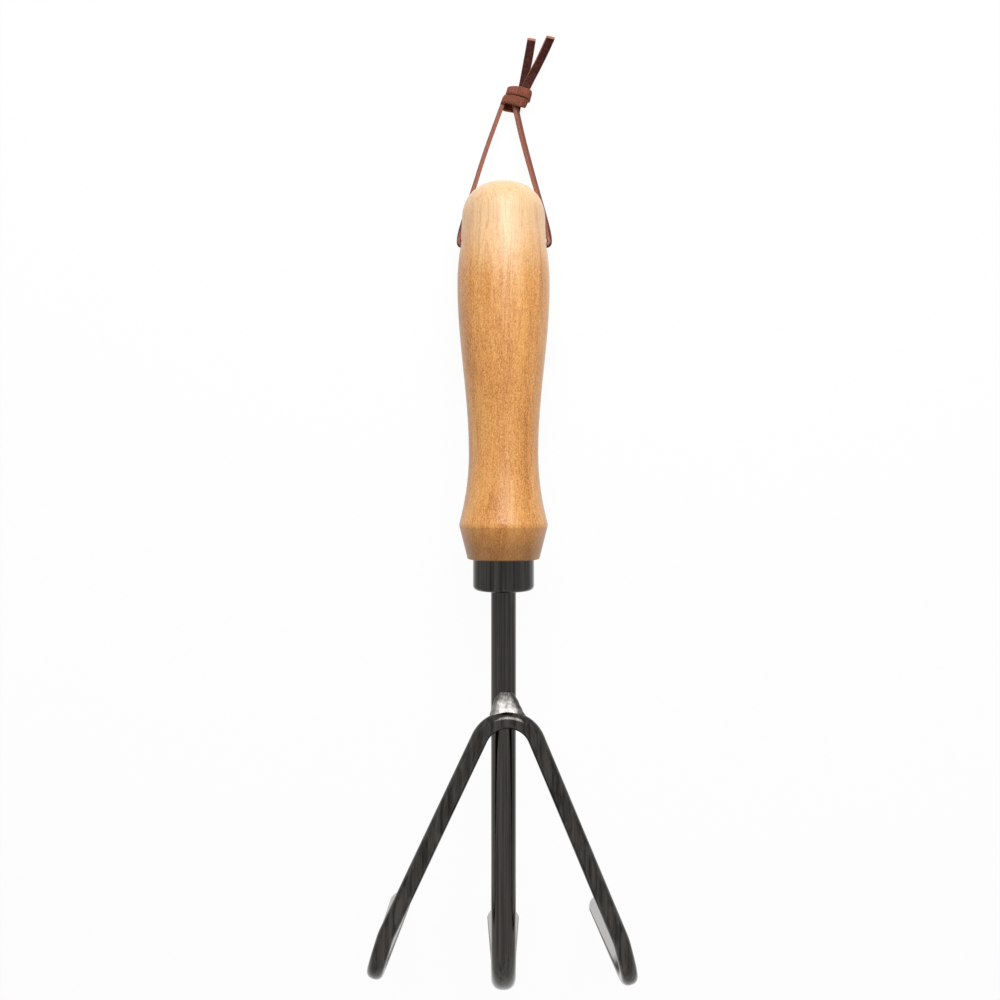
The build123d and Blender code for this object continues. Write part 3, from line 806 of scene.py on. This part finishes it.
@dataclass
class Lace:
    """The lace: one thong through the handle's cross hole, its ends tied in a double overhand knot."""

    frame: ToolFrame
    width: float = 3.1 * MM
    thickness: float = 1.4 * MM
    knot_middle: Sides = (-31.56, 5.7, 3.6)  # mm from under the butt
    knot_turn: float = math.radians(14)
    hole_at: tuple[float, float] = (23.4, 16.3)  # mm from under the butt, and up
    mouth: float = 15.6 * MM  # from the tool's axis to the hole's mouth
    leg_length: float = 74.0 * MM
    leg_painted_shade: float = 30.0 * MM  # of a leg, from the middle of the hole, kept dark as painted shade where it hugs the handle
    end_slant: float = 1.3 * MM
    long_end_bias: float = 1.1 * MM
    fresh_root: float = 5.5 * MM  # from a tail's first stop down to where it comes out of the knot

    LEFT_LEG = (
        Stop((23.4, 0.0, 16.3), (0, 0, 1)),
        Stop((22.8, -13.2, 16.2), (0, 0, 1)),
        Stop((22.7, -15.9, 15.7), (0, 0.1, 1)),
        Stop((19.6, -16.1, 12.9), (0, 0.25, 1)),
        Stop((13.0, -14.6, 9.2), (0, 0.3, 1)),
        Stop((2.0, -11.2, 6.9), (0, 0.2, 1)),
        Stop((-10.0, -7.4, 5.4), (0, 0.2, 1)),
        Stop((-20.0, -3.8, 4.4), (0, 0.2, 1)),
        Stop((-31.0, 0.4, 3.4), (0, 0.2, 1)),
    )
    RIGHT_LEG = (
        Stop((23.4, 0.0, 16.3), (0, 0, 1)),
        Stop((22.8, 13.4, 16.2), (0, 0, 1)),
        Stop((22.7, 16.3, 15.7), (0, -0.2, 1)),
        Stop((19.5, 16.6, 13.0), (0, -0.4, 1)),
        Stop((12.6, 15.4, 9.4), (0, -0.3, 1)),
        Stop((1.4, 12.1, 6.9), (0, -0.4, 1)),
        Stop((-10.0, 8.9, 5.2), (0, -0.5, 1)),
        Stop((-20.0, 6.2, 4.2), (0, -0.5, 1)),
        Stop((-30.0, 4.0, 3.4), (0, -0.5, 1)),
    )
    # the knot's own places: across its bands, towards the tails, and up from its middle, in mm
    UPPER_BAND = (
        Stop((-1.3, -2.2, -0.6), (1, 0, 0)),
        Stop((-2.6, -0.2, -1.6), (0.7, -0.7, 0)),
        Stop((-4.1, 0.5, -1.4), (0, -0.8, 0.5)),
        Stop((-4.3, 0.5, 0.4), (0, -0.8, 0.5)),
        Stop((-4.0, 0.7, 2.4), (0, -0.9, 0.5)),
        Stop((-0.4, 1.1, 3.2), (0, -1, 0)),
        Stop((3.4, 1.1, 2.8), (0, -1, 0)),
        Stop((3.7, 1.0, 0.3), (0, -1, 0)),
        Stop((3.3, 1.0, -2.1), (0, -1, 0)),
        Stop((1.3, 1.2, -2.2), (-0.3, -1, 0)),
        Stop((0.2, 2.2, -2.0), (-0.8, -0.6, 0)),
        Stop((0.5, 4.2, -1.6), (-1, 0.1, 0)),
    )
    LOWER_BAND = (
        Stop((1.4, -3.4, -1.7), (0, 1, 0)),
        Stop((-2.0, -3.6, -1.9), (0, 1, 0)),
        Stop((-5.0, -3.9, -1.7), (0, 1, 0)),
        Stop((-5.3, -3.2, 0.2), (0.1, 0.9, -0.4)),
        Stop((-5.0, -2.4, 1.9), (0.1, 0.9, -0.4)),
        Stop((-2.9, -2.0, 2.5), (0.05, 1, 0)),
        Stop((0.0, -2.2, 2.7), (0.15, 1, 0)),
        Stop((2.3, -2.2, 2.2), (0.3, 1, 0)),
        Stop((3.0, -1.5, 0.6), (0.2, 1, 0)),
        Stop((2.6, -0.8, -0.9), (0.4, 1, 0)),
        Stop((1.5, 0.2, -0.6), (1, 0.6, 0)),
        Stop((1.4, 2.2, 0.4), (1, 0, 0)),
        Stop((1.8, 4.2, 0.5), (1, -0.2, 0)),
    )
    SHORT_TAIL = (
        Stop((-40.0, 7.9, 1.5), (0, -1, 0)),
        Stop((-46.0, 9.25, 1.2), (0, -1, 0)),
        Stop((-53.0, 10.4, 1.2), (0, -1, 0)),
    )
    LONG_TAIL = (
        Stop((-39.8, 10.8, 3.2), (-0.3, 1, -0.3)),
        Stop((-45.8, 14.0, 2.5), (-0.4, 1, -0.4)),
        Stop((-53.3, 17.5, 2.0), (-0.4, 1, -0.3)),
    )

    def from_knot(self, stops: Sequence[Stop]) -> list[Stop]:
        """Turn stops in the knot's own places into places from under the butt."""
        across = Vector((math.sin(self.knot_turn), math.cos(self.knot_turn), 0))
        ahead = Vector((-math.cos(self.knot_turn), math.sin(self.knot_turn), 0))
        turned = []
        for stop in stops:
            (u, v, w), (wu, wv, ww) = stop.place, stop.width_way
            place = Vector(self.knot_middle) + across * u + ahead * v + Vector((0, 0, w))
            turned.append(Stop(tuple(place), tuple(across * wu + ahead * wv + Vector((0, 0, ww)))))
        return turned

    def tie(self, name: str, band: Sequence[Stop], tail: Sequence[Stop], bias: float = 0.0) -> Piece:
        """Make one band of the knot together with the tail that comes out of it.

        Args:
            name: The piece's name.
            band: The band's route, in the knot's own places.
            tail: The tail's route.
            bias: How far one edge of the tail's end runs on past the other.

        Returns:
            The piece.
        """
        fresh = math.dist(tail[0].place, tail[-1].place) * MM + self.fresh_root
        route = [*self.from_knot(band), *tail]
        strip = Strip(name, route, self.width, self.thickness, self.end_slant, bias, fresh)
        return strip.build(self.frame)[0]

    def lead(self, side: Side, stops: Sequence[Stop]) -> Piece:
        """Args:
            side: Which leg it is.
            stops: Its route.

        Returns:
            The leg.
        """
        node = "lace_" + side.name.lower()
        strip = Strip(node + "_leg", stops, self.width, self.thickness, painted_shade_for=self.leg_painted_shade)
        leg, line = strip.build(self.frame)
        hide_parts(node)
        along, up = self.hole_at
        mouth = self.frame.on_table(along, side.value * self.mouth / MM, up)
        return leg

    def build(self) -> None:
        """Make the knot with its tails and both legs, and dress them."""
        upper = self.tie("lace_knot_upper", self.UPPER_BAND, self.SHORT_TAIL)
        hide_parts("lace_tail_short", "lace_knot")
        lower = self.tie("lace_knot_lower", self.LOWER_BAND, self.LONG_TAIL, self.long_end_bias)
        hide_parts("lace_tail_long")
        legs = [self.lead(Side.LEFT, self.LEFT_LEG), self.lead(Side.RIGHT, self.RIGHT_LEG)]
        leather = ThongLeather().build()
        for piece in (upper, lower, *legs):
            dress(piece, leather)
            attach(piece, "root")
            LOG.info("%s: %d faces", piece.name, len(piece.data.polygons))


# ---- weld ----


@dataclass(frozen=True)
class WeldRow:
    """A row of the weld across the bar. Places are in mm in the tool's frame."""

    along: float
    middle: float
    half_width: float
    foot: float
    top: float


@dataclass
class Weld:
    """Fan of weld metal that climbs from the bar onto the wishbone's apex and spreads along it."""

    frame: ToolFrame
    crown: float = 0.72  # width of its top, as a share of its foot's
    lump_size: float = 2.0  # mm
    lump_height: float = 0.5  # mm
    smoothing: int = 3  # rounds of subdivision
    NEAR = 0.01  # how near a point of the block lies to its row, for a block of size 1
    TOP_FROM = 0.4  # height over the block's middle that only its top reaches

    ROWS = (
        WeldRow(182.8, 0.6, 2.3, 2.6, 4.8),
        WeldRow(185.0, 0.75, 3.7, 2.2, 5.9),
        WeldRow(187.4, 0.95, 4.7, 2.6, 7.3),
        WeldRow(189.7, 1.2, 5.7, 4.0, 8.6),
        WeldRow(191.8, 1.6, 7.0, 5.0, 9.2),
    )

    def rough_out(self) -> Piece:
        """Pull the rows of a subdivided block out to the fan, in mm in the tool's frame."""
        bpy.ops.mesh.primitive_cube_add(size=1.0)
        piece = bpy.context.object
        piece.name = "weld_fan"
        bpy.ops.object.mode_set(mode="EDIT")
        bpy.ops.mesh.subdivide(number_cuts=len(self.ROWS) - 2)
        for index, row in enumerate(self.ROWS):
            at = index / (len(self.ROWS) - 1) - 0.5
            select_where(piece, lambda co: abs(co.x - at) < self.NEAR and co.z > self.TOP_FROM)
            bpy.ops.transform.resize(value=(1.0, self.crown, 1.0), center_override=(0, 0, 0))
            select_where(piece, lambda co: abs(co.x - at) < self.NEAR)
            size = (1.0, 2 * row.half_width, row.top - row.foot)
            bpy.ops.transform.resize(value=size, center_override=(0, 0, 0))
            bpy.ops.transform.translate(value=(row.along - at, row.middle, (row.top + row.foot) / 2))
        bpy.ops.object.mode_set(mode="OBJECT")
        return piece

    def build(self) -> None:
        """Make the weld, dress it and let it stand for the plain bead."""
        piece = self.rough_out()
        apply_modifier(piece, "SUBSURF", levels=self.smoothing, render_levels=self.smoothing)
        lumps = bpy.data.textures.new("weld_lumps", "CLOUDS")
        lumps.noise_scale = self.lump_size
        apply_modifier(piece, "DISPLACE", texture=lumps, strength=self.lump_height, mid_level=0.5)
        bpy.data.textures.remove(lumps)
        piece.matrix_world = self.frame.matrix @ Matrix.Scale(MM, 4)
        bpy.ops.object.transform_apply(location=True, rotation=True, scale=True)
        bpy.ops.object.shade_smooth()
        dress(piece, WeldMetal(self.frame).build())
        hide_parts("weld_bead")
        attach(piece, "root")
        bpy.ops.object.select_all(action="DESELECT")
        LOG.info("%s: %d faces", piece.name, len(piece.data.polygons))


# ---- studio ----


@dataclass
class Studio:
    """White floor and surroundings, and a large soft light beyond the butt of the handle."""

    frame: ToolFrame
    camera_at: Sides = (114.8 * MM, -1.26 * MM, 300 * MM)  # along the tool, across it, and up from its axis
    lens: float = 30.0  # mm
    sensor: float = 36.0  # mm
    nearest: float = 0.01
    floor_size: float = 6.0
    paper: str = "#F4F4F2"
    floor_whiteness: float = 0.95
    window_way: Sides = (-0.68, 0.08, 0.72)
    window_distance: float = 0.7
    window_size: tuple[float, float] = (0.45, 0.38)
    window_power: float = 4.0  # watts
    fill_behind: float = 0.6  # strength of the world's light from the side of the butt
    fill_ahead: float = 0.1
    fill_colour: tuple[float, float, float, float] = (0.98, 0.985, 1.0, 1.0)  # linear, a little cool

    def place_camera(self) -> None:
        """Put the camera square over the tool's axis, with the butt at the top of the frame."""
        lens = bpy.data.cameras.new("camera")
        lens.lens, lens.sensor_width, lens.clip_start = self.lens, self.sensor, self.nearest
        camera = put_in_scene("camera", lens)
        up, along = self.frame.up, self.frame.axis
        right = up.cross(along)
        turn = Matrix((right, -along, up)).transposed().to_4x4()
        camera.matrix_world = Matrix.Translation(self.frame.point(*self.camera_at)) @ turn
        bpy.context.scene.camera = camera

    def background_rays(self, tree: Tree) -> Socket:
        """Tell the rays that see the white background from those that carry light to the tool.

        Args:
            tree: The tree of the floor or the world.

        Returns:
            1 for camera, glossy and transmission rays, and 0 for all others.
        """
        rays = add_node(tree, "LightPath").outputs
        share = rays["Is Camera Ray"]
        for kind in ("Is Glossy Ray", "Is Transmission Ray"):
            share = add_node(tree, "Math", {0: share, 1: rays[kind]}, operation="MAXIMUM").outputs[0]
        return share

    def lay_floor(self) -> None:
        """Lay the white floor, which the camera, metal and gloss all see alike."""
        bpy.ops.mesh.primitive_plane_add(size=self.floor_size)
        floor = bpy.context.object
        floor.name = "floor"
        material, tree = new_material("white_floor")
        paper = add_node(tree, "BsdfDiffuse", {"Color": linear(self.paper)})
        glow = add_node(tree, "Emission", {"Color": (1, 1, 1, 1), "Strength": 1.0})
        seen = add_node(tree, "MixShader", {0: self.floor_whiteness, 1: paper.outputs[0], 2: glow.outputs[0]})
        both = add_node(tree, "MixShader", {
            0: self.background_rays(tree), 1: paper.outputs[0], 2: seen.outputs[0]})
        add_node(tree, "OutputMaterial", {0: both.outputs[0]})
        dress(floor, material)
        bpy.ops.object.select_all(action="DESELECT")

    def hang_window(self) -> None:
        """Hang the large soft light beyond the butt of the handle."""
        lamp = bpy.data.lights.new("window", "AREA")
        lamp.shape, lamp.energy = "RECTANGLE", self.window_power
        lamp.size, lamp.size_y = self.window_size
        window = put_in_scene("window", lamp)
        toward = Vector(self.window_way).normalized()
        window.location = toward * self.window_distance
        window.rotation_mode = "QUATERNION"
        window.rotation_quaternion = toward.to_track_quat("Z", "Y")

    def light_world(self) -> None:
        """Give the world its white background, and its fill, which is weaker from beyond the prongs."""
        world = bpy.data.worlds.new("studio")
        bpy.context.scene.world = world
        world.use_nodes = True
        tree = world.node_tree
        tree.nodes.clear()
        way = add_node(tree, "TexCoord").outputs["Generated"]
        strength = add_node(tree, "MapRange", {
            "Value": add_node(tree, "SeparateXYZ", {0: way}).outputs["X"],
            "From Min": -0.9, "From Max": 0.9, "To Min": self.fill_behind, "To Max": self.fill_ahead})
        fill = add_node(tree, "Background", {"Color": self.fill_colour, "Strength": strength.outputs[0]})
        white = add_node(tree, "Background", {"Color": (1, 1, 1, 1), "Strength": 1.0})
        seen = add_node(tree, "MixShader", {
            0: self.background_rays(tree), 1: fill.outputs[0], 2: white.outputs[0]})
        add_node(tree, "OutputWorld", {0: seen.outputs[0]})

    def build(self) -> None:
        """Set up camera, floor and light."""
        self.place_camera()
        self.lay_floor()
        self.hang_window()
        self.light_world()
        bpy.context.scene.view_settings.view_transform = "Standard"


# ---- the tool ----


@dataclass
class Handle:
    """The turned handle, and the glue in its bore, which keep the shapes that they were made with."""

    frame: ToolFrame
    nodes: dict[str, Piece]

    def build(self) -> None:
        """Dress handle and glue."""
        dress(self.nodes["handle"], OiledMaple(self.frame).build())
        dress(self.nodes["tang_glue"], CuredEpoxy().build())
        LOG.info("handle and tang_glue: dressed")


@dataclass
class Tines:
    """The ferrule and the three tines, all of one steel, which keep the shapes they were made with."""

    frame: ToolFrame
    nodes: dict[str, Piece]
    PIECES = ("ferrule", "middle_tine", "outer_tines")

    def build(self) -> None:
        """Dress ferrule and tines."""
        steel = PolishedSteel(self.frame).build()
        for name in self.PIECES:
            dress(self.nodes[name], steel)
            LOG.info("%s: dressed", name)


def main() -> None:
    """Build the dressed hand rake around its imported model."""
    logging.basicConfig(level=logging.INFO, format="%(message)s")
    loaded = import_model()
    bpy.ops.object.select_all(action="DESELECT")
    frame = ToolFrame.from_record(loaded["record"])
    Studio(frame).build()
    Lace(frame).build()
    Weld(frame).build()
    Handle(frame, loaded["nodes"]).build()
    Tines(frame, loaded["nodes"]).build()
    bpy.context.view_layer.update()


if __name__ == "__main__":
    main()
